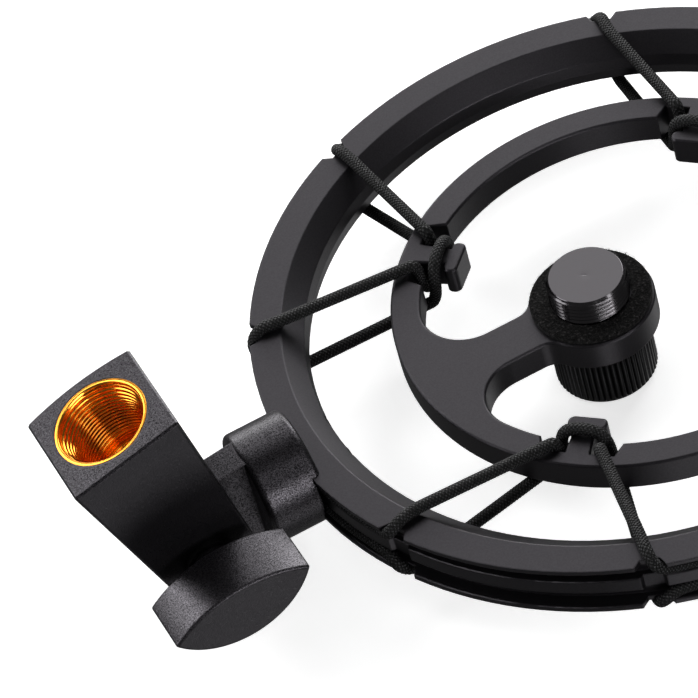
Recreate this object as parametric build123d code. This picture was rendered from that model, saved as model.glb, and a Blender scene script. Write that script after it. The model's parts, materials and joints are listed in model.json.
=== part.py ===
from build123d import *
import os
from math import acos, atan, cos, degrees, pi, radians, sin

# Ring shock mount for a studio microphone. Millimetres. The origin is the centre of the felt
# seat that the microphone stands on; +Z points up the mounting stud, and the stand block is
# on the -X side of the ring.

# ---- driving dimensions ----
OUTER_R = 74.0            # outer ring, outside radius
OUTER_X = 7.6             # outer ring centre
INNER_X = 10.2            # inner ring centre
FELT_T = 1.5
PLATE_TOP = -FELT_T       # top face of the inner frame
PLATE_T = 6.05
PLATE_BOTTOM = PLATE_TOP - PLATE_T
RING_TOP = 0.15           # top face of the outer ring
RING_H = 11.5
RING_MID = RING_TOP - RING_H / 2
RING_BOTTOM = RING_TOP - RING_H
STATIONS = (45, 135, 225, 315)    # directions of the four pairs of notches
HOOK_ANGLES = {45: 45, 135: 135, 225: 226.7, 315: 315}    # each station's hook

# outer ring section
RIDGE_R = OUTER_R - 6.3   # where the flat top meets the inner bevel
BORE_R = OUTER_R - 10.3   # top edge of the inner wall
WAIST_R = OUTER_R - 10.7  # inner wall at mid height
BEVEL_H = 3.25
GROOVE_DEPTH = 3.0
GROOVE_W = 2.93
RIM_T = 1.14
NOTCH_OFFSET = 20.1       # angle from a station to each of its two notches
NOTCH_MOUTH = 6.1
NOTCH_FLOOR = 3.7
NOTCH_DEPTH = 1.85
MIDDLE_RECESS = 0.9       # the band between the grooves, below the outer flanges
RIDGE_EDGE_R = 0.6
RIM_EDGE_R = 0.35
GROOVE_EDGE_R = 0.25

# inner frame
INNER_OUT_R = 48.65
INNER_IN_R = 42.7
EYE_R = 12.45
ARM_HALF = 4.9
ARM_FILLET = 9.0
EYE_FILLET = 4.0
PLATE_CHAMFER = 0.35
HEAD_IN_R, HEAD_OUT_R = 36.3, 39.2
HEAD_HALF = 3.9
HEAD_CORNER_R = 1.3
NECK_HALF = 2.05
NECK_ROOT_HALF = 2.6
POCKET_R = 45.3           # bottom of the pockets beside each neck
POCKET_MOUTH_HALF = 8.0
POCKET_ROOT_HALF = 7.1

# elastic cord
CORD_R = 1.25
GROOVE_CORD_R = OUTER_R - GROOVE_DEPTH + CORD_R + 0.2
NOTCH_CORD_R = OUTER_R - NOTCH_DEPTH + CORD_R + 0.15
HOOK_CLEAR = 0.15         # gap between the cord and the inner frame
OVER_RIM_CLEAR = 0.45
UNDER_RIM_CLEAR = 0.1
TIGHT_BEND = 1.6          # centreline radius over an edge
RIDGE_BEND = 8.0          # where the lower loop bends under the ridge
RIDGE_INSET = 0.8
RIDGE_TURN = 1.6          # degrees from the notch to the point under the ridge
LOOP_GAP = 0.1            # degrees between a loop's end and its ferrule's middle
FERRULE_R = 1.4
FERRULE_HALF_ANGLE = 3.2

# microphone stud, 5/8 inch - 27
STUD_R = 15.875 / 2
STUD_TOP = 5.4
STUD_CHAMFER = 0.5
SHANK_R = 7.4             # plain part below the thread
EYE_HOLE_R = 7.46
FELT_HOLE_R = 7.96
FELT_R = 12.1
THRUST_T = 0.5
THRUST_R = 9.5
WHEEL_R = 10.1
WHEEL_BOTTOM = -20.7
WHEEL_CHAMFER = 0.5
STUD_BOTTOM = -17.0

# bracket between ring and stand block
BARREL_R = 11.6
BARREL_OUT_X = OUTER_X - 83.6
BARREL_EDGE_R = 1.3
LIP_X = OUTER_X - 71.4
LIP_CLEAR = 0.05
TONGUE_HALF_T = 3.3
TONGUE_HALF_H = 10.8
TONGUE_END_R = 9.0
PIVOT_X = OUTER_X - 97.0
PIVOT_Z = RING_MID
BRACKET_SCREW_Y = 5.0
SCREW_R = 1.5
SCREW_HEAD_R = 2.75
SCREW_HEAD_H = 1.7
SCREW_SUNK = 0.4          # the head's face below the ring's inner wall
SCREW_LENGTH = 17.0
SOCKET_HALF_AF, SOCKET_DEPTH = 1.0, 1.2

# stand block
BLOCK_TILT = 14.5         # lean away from the ring, in degrees
BLOCK_H = 35.75           # pivot to mouth
BLOCK_TOP_HALF = 11.9
BLOCK_LOW_HALF = 9.4
BLOCK_NEAR_Y = -11.1
BLOCK_FAR_Y = 11.7         # at the corners of the convex far face
BLOCK_BULGE = 1.2
BLOCK_CHAMFER = 0.45
SLOT_HALF = 3.9
SLOT_FLOOR = 12.5         # above the pivot
INSERT_Y = 0.9            # midway between the near face and the crown of the far face
INSERT_R = 9.6
INSERT_L = 17.0
INSERT_MOUTH_R = 8.8
THREAD_MINOR_R = 14.86 / 2
STEP_BORE_R = 5.2
INSERT_FLOOR_T = 2.5

# clamp
ROD_R = 3.0
ROD_CHAMFER = 0.5
RUNNING = 0.05
KNOB_HALF = 14.7
KNOB_CHORD_UP = 2.0
KNOB_UP_BULGE = 4.8
KNOB_LOW_BULGE = 8.5
KNOB_CHORD_TILT = 6.0
KNOB_NEAR = -15.3
KNOB_FAR = -27.2
KNOB_EDGE_R = 0.6
KNOB_WALL = 4.0           # between the end of the rod and the knob's face
HUB_R = 4.4
CLAMP_WASHER_R = 5.2
CLAMP_WASHER_T = 1.2
FRICTION_WASHER_T = 0.5
FRICTION_WASHER_R = 8.4
NUT_AF = 10.0
NUT_T = 5.0
NUT_Y = 5.8

os.makedirs("parts", exist_ok=True)
PIVOT_AXIS = Axis((PIVOT_X, 0, PIVOT_Z), (0, -1, 0))


def cylinder_y(radius, y0, y1, x=PIVOT_X, z=PIVOT_Z):
    """A cylinder along Y between two offsets."""
    plane = Plane(origin=(x, y0, z), x_dir=(1, 0, 0), z_dir=(0, 1, 0))
    return extrude(plane * Circle(radius), y1 - y0)


def cylinder_z(radius, z0, z1, x=0.0):
    """A cylinder along Z between two heights."""
    return extrude(Plane.XY.offset(z0) * Pos(x, 0, 0) * Circle(radius), z1 - z0)


def ring_point(centre_x, radius, angle, z):
    """A point at a radius and an angle about a vertical axis."""
    a = radians(angle)
    return Vector(centre_x + radius * cos(a), radius * sin(a), z)


def hook_point(station, radius, side, z):
    """A point beside a hook: its radius from the inner ring's centre and its sideways offset."""
    a = radians(HOOK_ANGLES[station])
    return Vector(
        INNER_X + radius * cos(a) - side * sin(a),
        radius * sin(a) + side * cos(a),
        z,
    )


# ---- outer ring ----
def notch_cutter(angle):
    """A V-shaped notch through all the flanges of the outer ring."""
    floor_r, mouth_r = OUTER_R - NOTCH_DEPTH, OUTER_R + 0.8
    slope = (NOTCH_MOUTH - NOTCH_FLOOR) / 2 / NOTCH_DEPTH
    mouth_half = NOTCH_FLOOR / 2 + slope * (mouth_r - floor_r)
    outline = Polyline(
        (floor_r, -NOTCH_FLOOR / 2),
        (mouth_r, -mouth_half),
        (mouth_r, mouth_half),
        (floor_r, NOTCH_FLOOR / 2),
        close=True,
    )
    cutter = extrude(make_face(outline), RING_H + 2)
    return Pos(OUTER_X, 0, RING_BOTTOM - 1) * Rot(0, 0, angle) * cutter


def make_outer_ring():
    """The grooved ring: three flanges outside, two bevels and a wall inside."""
    groove_r = OUTER_R - GROOVE_DEPTH
    half = RING_H / 2
    section = Polyline(
        (BORE_R, half - BEVEL_H),
        (RIDGE_R, half),
        (OUTER_R, half),
        (OUTER_R, half - RIM_T),
        (groove_r, half - RIM_T),
        (groove_r, half - RIM_T - GROOVE_W),
        (OUTER_R - MIDDLE_RECESS, half - RIM_T - GROOVE_W),
        (OUTER_R - MIDDLE_RECESS, -half + RIM_T + GROOVE_W),
        (groove_r, -half + RIM_T + GROOVE_W),
        (groove_r, -half + RIM_T),
        (OUTER_R, -half + RIM_T),
        (OUTER_R, -half),
        (RIDGE_R, -half),
        (BORE_R, -half + BEVEL_H),
        (WAIST_R, 0),
        close=True,
    )
    face = make_face(section)
    edges = {}
    for v in face.vertices():
        at_top = abs(abs(v.Y) - half) < 0.01
        if v.X > OUTER_R - 0.01:
            edges.setdefault(RIM_EDGE_R if at_top else GROOVE_EDGE_R, []).append(v)
        elif at_top or abs(v.X - BORE_R) < 0.01:
            edges.setdefault(RIDGE_EDGE_R, []).append(v)
        elif abs(v.X - OUTER_R + MIDDLE_RECESS) < 0.01:
            edges.setdefault(GROOVE_EDGE_R, []).append(v)
    for radius, corners in edges.items():
        face = fillet(corners, radius)
    ring = Pos(OUTER_X, 0, RING_MID) * revolve(Plane.XZ * face, Axis.Z)
    for station in STATIONS:
        for side in (-1, 1):
            ring -= notch_cutter(station + side * NOTCH_OFFSET)
    for y in (-BRACKET_SCREW_Y, BRACKET_SCREW_Y):
        ring -= screw_shape(y, SCREW_R + 0.1, SCREW_HEAD_R + 0.1, 2.0)
    return ring


# ---- bracket screws ----
def screw_head_x(y):
    """Where a screw's flat head lies on the ring's inner wall."""
    return OUTER_X - (WAIST_R**2 - y**2) ** 0.5 - SCREW_SUNK


def screw_shape(y, shank_r, head_r, overrun=0.0):
    """A countersunk screw that points outwards along -X; overrun lengthens both ends."""
    head_x = screw_head_x(y)
    plane = Plane(origin=(head_x, y, RING_MID), x_dir=(0, 1, 0), z_dir=(-1, 0, 0))
    body = extrude(plane * Circle(shank_r), SCREW_LENGTH + min(overrun, 0.5))
    cone = plane * Pos(0, 0, SCREW_HEAD_H / 2) * Cone(head_r, shank_r, SCREW_HEAD_H)
    shape = body + cone
    if overrun:
        shape += extrude(plane * Circle(head_r), -overrun)
    return shape


def make_bracket_screws():
    """Two countersunk screws that hold the bracket to the ring."""
    screws = []
    for y in (-BRACKET_SCREW_Y, BRACKET_SCREW_Y):
        plane = Plane(origin=(screw_head_x(y), y, RING_MID), x_dir=(0, 1, 0), z_dir=(-1, 0, 0))
        socket = extrude(plane * RegularPolygon(SOCKET_HALF_AF, 6, major_radius=False), SOCKET_DEPTH)
        screws.append(screw_shape(y, SCREW_R, SCREW_HEAD_R) - socket)
    return Compound(children=screws)


# ---- bracket ----
def tongue_outline():
    """Side view of the tongue: the full height at the barrel, round at the pivot."""
    root_x = BARREL_OUT_X - PIVOT_X
    reach = (root_x**2 + TONGUE_HALF_H**2) ** 0.5
    lean = acos(TONGUE_END_R / reach)
    corner = acos(root_x / reach)
    a = corner + lean
    touch = (TONGUE_END_R * cos(a), TONGUE_END_R * sin(a))
    return [(root_x + 3, TONGUE_HALF_H), (root_x, TONGUE_HALF_H), touch]


def make_ring_bracket():
    """A round barrel that grips the ring with two lips, and a tongue for the stand block."""
    barrel_plane = Plane(origin=(BARREL_OUT_X, 0, RING_MID), x_dir=(0, 1, 0), z_dir=(1, 0, 0))
    barrel = extrude(barrel_plane * Circle(BARREL_R), LIP_X - BARREL_OUT_X)
    barrel = fillet(barrel.edges().filter_by(GeomType.CIRCLE), BARREL_EDGE_R)
    low, high = RING_BOTTOM - LIP_CLEAR, RING_TOP + LIP_CLEAR
    ring_space = cylinder_z(OUTER_R + LIP_CLEAR, low, high, OUTER_X)
    barrel -= ring_space
    top_right, corner, touch = tongue_outline()
    side = Polyline(
        (touch[0], -touch[1]),
        (corner[0], -corner[1]),
        (top_right[0], -top_right[1]),
        top_right,
        corner,
        touch,
    )
    nose = ThreePointArc(touch, (-TONGUE_END_R, 0), (touch[0], -touch[1]))
    plane = Plane(origin=(PIVOT_X, TONGUE_HALF_T, PIVOT_Z), x_dir=(1, 0, 0), z_dir=(0, -1, 0))
    tongue = extrude(plane * make_face(Wire([*side.edges(), *nose.edges()])), 2 * TONGUE_HALF_T)
    bracket = barrel + tongue
    bracket -= cylinder_y(ROD_R + RUNNING, -TONGUE_HALF_T - 1, TONGUE_HALF_T + 1)
    for y in (-BRACKET_SCREW_Y, BRACKET_SCREW_Y):
        bracket -= screw_shape(y, SCREW_R + 0.02, SCREW_HEAD_R, 0.5)
    return bracket


# ---- inner frame ----
def hook_outline(angle):
    """The T-shaped hook: a head across the end of a tapered neck."""
    head = Rectangle(HEAD_OUT_R - HEAD_IN_R, 2 * HEAD_HALF)
    head = Pos((HEAD_IN_R + HEAD_OUT_R) / 2, 0) * fillet(head.vertices(), HEAD_CORNER_R)
    root_r = POCKET_R + 1
    neck = Polyline(
        (HEAD_OUT_R - 0.5, -NECK_HALF),
        (root_r, -NECK_ROOT_HALF),
        (root_r, NECK_ROOT_HALF),
        (HEAD_OUT_R - 0.5, NECK_HALF),
        close=True,
    )
    return Pos(INNER_X, 0) * Rot(0, 0, angle) * (head + make_face(neck))


def pocket_outline(angle):
    """The recess in the ring's inner edge that the cords pass through, beside the neck."""
    outline = Polyline(
        (HEAD_IN_R - 2, -POCKET_MOUTH_HALF - 2),
        (INNER_IN_R - 0.3, -POCKET_MOUTH_HALF),
        (POCKET_R, -POCKET_ROOT_HALF),
        (POCKET_R, POCKET_ROOT_HALF),
        (INNER_IN_R - 0.3, POCKET_MOUTH_HALF),
        (HEAD_IN_R - 2, POCKET_MOUTH_HALF + 2),
        close=True,
    )
    return Pos(INNER_X, 0) * Rot(0, 0, angle) * make_face(outline)


def arm_outline():
    """The arm from the ring to the eye, with round fillets where it meets the ring."""
    root_r = INNER_IN_R + 1.5
    root_x = INNER_X - root_r
    arm = Pos(root_x / 2, 0) * Rectangle(-root_x, 2 * ARM_HALF)
    inside_r = INNER_IN_R - ARM_FILLET
    flare_y = ARM_HALF + ARM_FILLET
    flare_x = INNER_X - (inside_r**2 - flare_y**2) ** 0.5
    touch_y = root_r * flare_y / inside_r
    touch_x = INNER_X - (root_r**2 - touch_y**2) ** 0.5
    flare = make_face(Polyline(
        (flare_x, flare_y), (touch_x, touch_y), (root_x, 0), (touch_x, -touch_y), (flare_x, -flare_y),
        close=True,
    ))
    for side in (-1, 1):
        flare -= Pos(flare_x, side * flare_y) * Circle(ARM_FILLET)
    return arm + flare


def make_inner_frame():
    """Inner ring, arm, eye and four hooks, cast as one flat plate."""
    plate = Pos(INNER_X, 0) * (Circle(INNER_OUT_R) - Circle(INNER_IN_R))
    fillet_y = ARM_HALF + EYE_FILLET
    fillet_x = -(((EYE_R + EYE_FILLET) ** 2 - fillet_y**2) ** 0.5)
    web = make_face(Polyline((0, 0), (fillet_x, fillet_y), (fillet_x, -fillet_y), close=True))
    for side in (-1, 1):
        web -= Pos(fillet_x, side * fillet_y) * Circle(EYE_FILLET)
    plate += arm_outline() & (Pos(INNER_X, 0) * Circle(INNER_OUT_R - 1))
    plate += Circle(EYE_R) + web
    for angle in HOOK_ANGLES.values():
        plate -= pocket_outline(angle)
    for angle in HOOK_ANGLES.values():
        plate += hook_outline(angle)
    frame = extrude(Plane.XY.offset(PLATE_BOTTOM) * plate, PLATE_T)
    frame = chamfer(frame.edges().group_by(Axis.Z)[-1], PLATE_CHAMFER)
    frame -= cylinder_z(EYE_HOLE_R, PLATE_BOTTOM - 1, PLATE_TOP + 1)
    return frame


# ---- elastic cords ----
def notch_side(station, side, groove_z, outside_z, ridge_z):
    """From the groove, through a notch and over the rim: three corners, and one at the ridge."""
    notch = station + side * NOTCH_OFFSET
    lead = degrees(acos(GROOVE_CORD_R / NOTCH_CORD_R))
    points = [
        ring_point(OUTER_X, GROOVE_CORD_R, notch + side * lead, groove_z),
        ring_point(OUTER_X, NOTCH_CORD_R, notch, groove_z),
        ring_point(OUTER_X, NOTCH_CORD_R, notch, outside_z),
    ]
    if ridge_z is not None:
        points.append(ring_point(OUTER_X, RIDGE_R - RIDGE_INSET, notch - side * RIDGE_TURN, ridge_z))
    return points


def station_path(station, groove_z, outside_z, ridge_z, hook_r, leg_side, pass_side, leg_z, pass_z):
    """One visit to a hook: in over the rim, round the neck and out over the rim."""
    points = []
    rim = [TIGHT_BEND, TIGHT_BEND] + ([RIDGE_BEND] if ridge_z is not None else [])
    for side in (-1, 1):
        part = notch_side(station, side, groove_z, outside_z, ridge_z)
        part.append(hook_point(station, hook_r, side * leg_side, leg_z))
        part.append(hook_point(station, hook_r, side * pass_side, pass_z))
        points += part if side < 0 else part[::-1]
    radii = rim + [TIGHT_BEND] * 4 + rim[::-1]
    return FilletPolyline(*points, radius=radii)


def cord_path(groove_z, visit):
    """The whole loop: four hooks joined by arcs in the groove, open behind the bracket."""
    lead = degrees(acos(GROOVE_CORD_R / NOTCH_CORD_R))
    away = NOTCH_OFFSET + lead
    plane = Plane.XY.offset(groove_z) * Pos(OUTER_X, 0, 0)
    order = (225, 315, 45, 135)
    edges = list((plane * CenterArc((0, 0), GROOVE_CORD_R, 180 + LOOP_GAP, 45 - away - LOOP_GAP)).edges())
    for i, station in enumerate(order):
        edges += list(visit(station).edges())
        start = station + away
        span = 90 - 2 * away if i < 3 else 45 - away - LOOP_GAP
        edges += list((plane * CenterArc((0, 0), GROOVE_CORD_R, start, span)).edges())
    return Wire(edges)


def sweep_cord(path, radius):
    """A round section swept along a path."""
    start = Plane(origin=path @ 0, z_dir=path % 0)
    return sweep(start * Circle(radius), path=path)


UPPER_GROOVE_Z = RING_TOP - RIM_T - GROOVE_W / 2
LOWER_GROOVE_Z = RING_BOTTOM + RIM_T + GROOVE_W / 2
OVER_RIM_Z = RING_TOP + CORD_R + OVER_RIM_CLEAR
UNDER_RIM_Z = RING_BOTTOM - CORD_R - UNDER_RIM_CLEAR
OVER_PLATE_Z = PLATE_TOP + CORD_R + HOOK_CLEAR
UNDER_PLATE_Z = PLATE_BOTTOM - CORD_R - HOOK_CLEAR
# radius from the inner ring's centre, and offsets beside the neck of the legs and of the pass
UPPER_HOOK = (43.75, 4.05, 4.05)
LOWER_HOOK = (40.95, 5.4, 4.3)


def upper_visit(station):
    """The upper loop dives beside the neck and passes under it."""
    return station_path(
        station, UPPER_GROOVE_Z, OVER_RIM_Z, None, *UPPER_HOOK, OVER_PLATE_Z, UNDER_PLATE_Z
    )


def lower_visit(station):
    """The lower loop rises beside the neck and passes over it."""
    return station_path(
        station, LOWER_GROOVE_Z, UNDER_RIM_Z, UNDER_RIM_Z, *LOWER_HOOK, UNDER_PLATE_Z, OVER_PLATE_Z
    )


def make_ferrule(groove_z):
    """A crimped sleeve over the two ends of a loop, in the groove behind the bracket."""
    plane = Plane.XY.offset(groove_z) * Pos(OUTER_X, 0, 0)
    arc = (plane * CenterArc(
        (0, 0), GROOVE_CORD_R, 180 - FERRULE_HALF_ANGLE, 2 * FERRULE_HALF_ANGLE
    )).edge()
    start = Plane(origin=arc @ 0, z_dir=arc % 0)
    return sweep(start * (Circle(FERRULE_R) - Circle(CORD_R)), path=arc)


# ---- microphone seat ----
def make_felt_washer():
    """The soft seat round the stud."""
    return cylinder_z(FELT_R, PLATE_TOP, 0) - cylinder_z(FELT_HOLE_R, PLATE_TOP - 1, 1)


def make_mic_stud():
    """The threaded stud that screws into the microphone."""
    stud = cylinder_z(STUD_R, 0, STUD_TOP) + cylinder_z(SHANK_R, STUD_BOTTOM, 0)
    return chamfer(stud.edges().group_by(Axis.Z)[-1], STUD_CHAMFER)


def make_thumb_wheel():
    """The wheel under the eye that turns the stud."""
    wheel = cylinder_z(WHEEL_R, WHEEL_BOTTOM, PLATE_BOTTOM - THRUST_T - RUNNING)
    wheel = chamfer(wheel.edges().filter_by(GeomType.CIRCLE), WHEEL_CHAMFER)
    return wheel - cylinder_z(SHANK_R, STUD_BOTTOM, PLATE_BOTTOM)


def make_thrust_washer():
    """A thin washer between the eye and the thumb wheel."""
    top, bottom = PLATE_BOTTOM, PLATE_BOTTOM - THRUST_T
    return cylinder_z(THRUST_R, bottom, top) - cylinder_z(EYE_HOLE_R, bottom - 1, top + 1)


# ---- stand block, modelled upright about the pivot and then leaned outwards ----
def lean(shape):
    """Turns an upright shape about the pivot to the block's rest angle."""
    return shape.rotate(PIVOT_AXIS, BLOCK_TILT)


def on_insert_axis(radius, low, high):
    """A cylinder on the upright block's insert axis, between two heights above the pivot."""
    return Pos(0, INSERT_Y, 0) * cylinder_z(radius, PIVOT_Z + low, PIVOT_Z + high, PIVOT_X)


def make_stand_block():
    """Tapered block, convex on its far side, with a slot for the tongue and a bore for the insert."""
    a = atan((BLOCK_TOP_HALF - BLOCK_LOW_HALF) / BLOCK_H)
    touch = (BLOCK_LOW_HALF * cos(a), -BLOCK_LOW_HALF * sin(a))
    sides = Polyline((-touch[0], touch[1]), (-BLOCK_TOP_HALF, BLOCK_H),
                     (BLOCK_TOP_HALF, BLOCK_H), touch)
    end = ThreePointArc(touch, (0, -BLOCK_LOW_HALF), (-touch[0], touch[1]))
    crown_y = BLOCK_FAR_Y + BLOCK_BULGE
    plane = Plane(origin=(PIVOT_X, crown_y, PIVOT_Z), x_dir=(1, 0, 0), z_dir=(0, -1, 0))
    block = extrude(plane * make_face(Wire([*sides.edges(), *end.edges()])), crown_y - BLOCK_NEAR_Y)
    near = Polyline((-BLOCK_TOP_HALF, BLOCK_FAR_Y), (-BLOCK_TOP_HALF, BLOCK_NEAR_Y),
                    (BLOCK_TOP_HALF, BLOCK_NEAR_Y), (BLOCK_TOP_HALF, BLOCK_FAR_Y))
    far = ThreePointArc((BLOCK_TOP_HALF, BLOCK_FAR_Y), (0, crown_y), (-BLOCK_TOP_HALF, BLOCK_FAR_Y))
    plan = make_face(Wire([*near.edges(), *far.edges()]))
    low_z = PIVOT_Z - BLOCK_LOW_HALF - 1
    block &= extrude(Plane.XY.offset(low_z) * Pos(PIVOT_X, 0) * plan, BLOCK_H + BLOCK_LOW_HALF + 2)
    block = chamfer(block.edges(), BLOCK_CHAMFER)
    slot_h = SLOT_FLOOR + BLOCK_LOW_HALF + 2
    slot_z = PIVOT_Z + SLOT_FLOOR - slot_h / 2
    block -= Pos(PIVOT_X, 0, slot_z) * Box(4 * BLOCK_TOP_HALF, 2 * SLOT_HALF, slot_h)
    block -= on_insert_axis(INSERT_R, BLOCK_H - INSERT_L, BLOCK_H + 1)
    block -= cylinder_y(ROD_R + 0.1, BLOCK_NEAR_Y - 1, NUT_Y + 1)
    pocket_plane = Plane(origin=(PIVOT_X, NUT_Y, PIVOT_Z), x_dir=(1, 0, 0), z_dir=(0, 1, 0))
    pocket = RegularPolygon(NUT_AF / 2 + 0.05, 6, major_radius=False)
    block -= extrude(pocket_plane * pocket, BLOCK_FAR_Y)
    return lean(block)


def make_thread_insert():
    """The stand thread: a sleeve with a chamfered mouth and a stepped floor."""
    bottom = BLOCK_H - INSERT_L
    insert = on_insert_axis(INSERT_R, bottom, BLOCK_H)
    insert -= on_insert_axis(THREAD_MINOR_R, bottom + INSERT_FLOOR_T, BLOCK_H + 1)
    insert -= on_insert_axis(STEP_BORE_R, bottom - 1, BLOCK_H)
    depth = INSERT_MOUTH_R - THREAD_MINOR_R
    cone = Cone(THREAD_MINOR_R, INSERT_MOUTH_R, depth)
    insert -= Pos(PIVOT_X, INSERT_Y, PIVOT_Z + BLOCK_H - depth / 2) * cone
    return lean(insert)


# ---- clamp ----
def knob_outline():
    """The lens shape of the knob: two arcs between two corners."""
    up = KNOB_CHORD_UP
    left, right = (-KNOB_HALF, up), (KNOB_HALF, up)
    upper = ThreePointArc(left, (0, up + KNOB_UP_BULGE), right)
    lower = ThreePointArc(right, (0, up - KNOB_LOW_BULGE), left)
    return make_face(Wire([*upper.edges(), *lower.edges()]))


def make_clamp_knob():
    """The wing knob with a round hub, bored for the clamp rod."""
    plane = Plane(origin=(PIVOT_X, KNOB_NEAR, PIVOT_Z), x_dir=(1, 0, 0), z_dir=(0, -1, 0))
    outline = Rot(0, 0, KNOB_CHORD_TILT) * knob_outline()
    knob = extrude(plane * outline, KNOB_NEAR - KNOB_FAR)
    knob = fillet(knob.edges(), KNOB_EDGE_R)
    hub_start = BLOCK_NEAR_Y - CLAMP_WASHER_T - 2 * RUNNING
    knob += cylinder_y(HUB_R, KNOB_NEAR - 1, hub_start)
    return knob - cylinder_y(ROD_R, KNOB_FAR + KNOB_WALL, hub_start + 1)


def make_clamp_rod():
    """The threaded rod that is fixed in the knob."""
    rod = cylinder_y(ROD_R, KNOB_FAR + KNOB_WALL, NUT_Y + NUT_T - ROD_CHAMFER)
    return chamfer(rod.edges().group_by(Axis.Y)[-1], ROD_CHAMFER)


def make_clamp_washer():
    """The washer between the knob's hub and the block."""
    outer_y = BLOCK_NEAR_Y - RUNNING
    washer = cylinder_y(CLAMP_WASHER_R, outer_y - CLAMP_WASHER_T, outer_y)
    return washer - cylinder_y(ROD_R + 0.1, outer_y - 2, outer_y + 1)


def make_clamp_nut():
    """The hexagon nut held in the far side of the block."""
    plane = Plane(origin=(PIVOT_X, NUT_Y, PIVOT_Z), x_dir=(1, 0, 0), z_dir=(0, 1, 0))
    nut = extrude(plane * RegularPolygon(NUT_AF / 2, 6, major_radius=False), NUT_T)
    return lean(nut - cylinder_y(ROD_R + RUNNING, NUT_Y - 1, NUT_Y + NUT_T + 1))


def make_friction_washer(side):
    """A thin friction disc between the tongue and one cheek of the block."""
    inner_y = TONGUE_HALF_T + RUNNING
    low, high = sorted((side * inner_y, side * (inner_y + FRICTION_WASHER_T)))
    disc = cylinder_y(FRICTION_WASHER_R, low, high)
    return disc - cylinder_y(ROD_R + 0.15, low - 1, high + 1)


NODES = {
    "outer_ring": make_outer_ring(),
    "inner_frame": make_inner_frame(),
    "upper_cord": sweep_cord(cord_path(UPPER_GROOVE_Z, upper_visit), CORD_R),
    "lower_cord": sweep_cord(cord_path(LOWER_GROOVE_Z, lower_visit), CORD_R),
    "upper_cord_ferrule": make_ferrule(UPPER_GROOVE_Z),
    "lower_cord_ferrule": make_ferrule(LOWER_GROOVE_Z),
    "felt_washer": make_felt_washer(),
    "mic_stud": make_mic_stud(),
    "thumb_wheel": make_thumb_wheel(),
    "thrust_washer": make_thrust_washer(),
    "ring_bracket": make_ring_bracket(),
    "bracket_screws": make_bracket_screws(),
    "stand_block": make_stand_block(),
    "thread_insert": make_thread_insert(),
    "clamp_knob": make_clamp_knob(),
    "clamp_rod": make_clamp_rod(),
    "clamp_washer": make_clamp_washer(),
    "clamp_nut": make_clamp_nut(),
    "friction_washer_near": make_friction_washer(-1),
    "friction_washer_far": make_friction_washer(1),
}

for name, solid in NODES.items():
    export_step(solid, f"parts/{name}.step")

for name, visit in (("upper_cord", upper_visit), ("lower_cord", lower_visit)):
    groove_z = UPPER_GROOVE_Z if name == "upper_cord" else LOWER_GROOVE_Z
    length = cord_path(groove_z, visit).length
    print(name, "length", round(length, 1), "volume / (section x length)",
          round(NODES[name].volume / (pi * CORD_R**2 * length), 4))
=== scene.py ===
import json
from math import acos, cos, pi, radians, sin

import bmesh
import bpy
import numpy as np
from mathutils import Matrix, Vector


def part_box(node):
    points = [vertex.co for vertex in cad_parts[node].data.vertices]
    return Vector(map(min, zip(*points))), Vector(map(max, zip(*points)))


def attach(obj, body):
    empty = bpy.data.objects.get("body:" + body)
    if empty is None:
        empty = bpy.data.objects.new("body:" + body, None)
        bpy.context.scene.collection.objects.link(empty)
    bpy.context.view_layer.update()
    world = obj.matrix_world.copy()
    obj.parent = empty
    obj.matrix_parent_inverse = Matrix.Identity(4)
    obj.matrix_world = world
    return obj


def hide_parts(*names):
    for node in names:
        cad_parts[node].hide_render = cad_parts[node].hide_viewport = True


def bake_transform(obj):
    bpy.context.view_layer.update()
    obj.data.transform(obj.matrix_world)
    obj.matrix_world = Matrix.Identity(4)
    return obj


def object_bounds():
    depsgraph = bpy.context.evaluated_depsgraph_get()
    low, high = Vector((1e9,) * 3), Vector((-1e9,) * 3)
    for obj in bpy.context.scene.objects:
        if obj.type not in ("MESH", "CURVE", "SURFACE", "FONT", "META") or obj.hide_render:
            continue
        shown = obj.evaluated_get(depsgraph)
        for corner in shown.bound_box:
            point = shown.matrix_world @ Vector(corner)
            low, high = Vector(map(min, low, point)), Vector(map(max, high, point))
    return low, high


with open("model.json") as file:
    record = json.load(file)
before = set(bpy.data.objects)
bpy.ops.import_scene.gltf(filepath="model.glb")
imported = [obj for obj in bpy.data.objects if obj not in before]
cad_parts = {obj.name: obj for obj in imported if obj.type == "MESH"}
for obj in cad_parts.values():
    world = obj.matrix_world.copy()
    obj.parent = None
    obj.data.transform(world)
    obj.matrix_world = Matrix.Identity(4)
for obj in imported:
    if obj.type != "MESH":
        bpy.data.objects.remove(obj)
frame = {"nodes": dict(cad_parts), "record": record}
cad_low, cad_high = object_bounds()
MOUNTS = {m["name"]: m for m in frame["record"]["mounts"]}
MM = 0.001

# ---- sizes read from the frame ----
ring_low, ring_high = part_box("outer_ring")
inner_low, inner_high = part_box("inner_frame")
OUTER_X = (ring_low.x + ring_high.x) / 2
OUTER_R = (ring_high.y - ring_low.y) / 2
RING_TOP, RING_BOTTOM = ring_high.z, ring_low.z
INNER_OUT_R = (inner_high.y - inner_low.y) / 2
INNER_X = inner_high.x - INNER_OUT_R
PLATE_TOP, PLATE_BOTTOM = inner_high.z, inner_low.z

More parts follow.
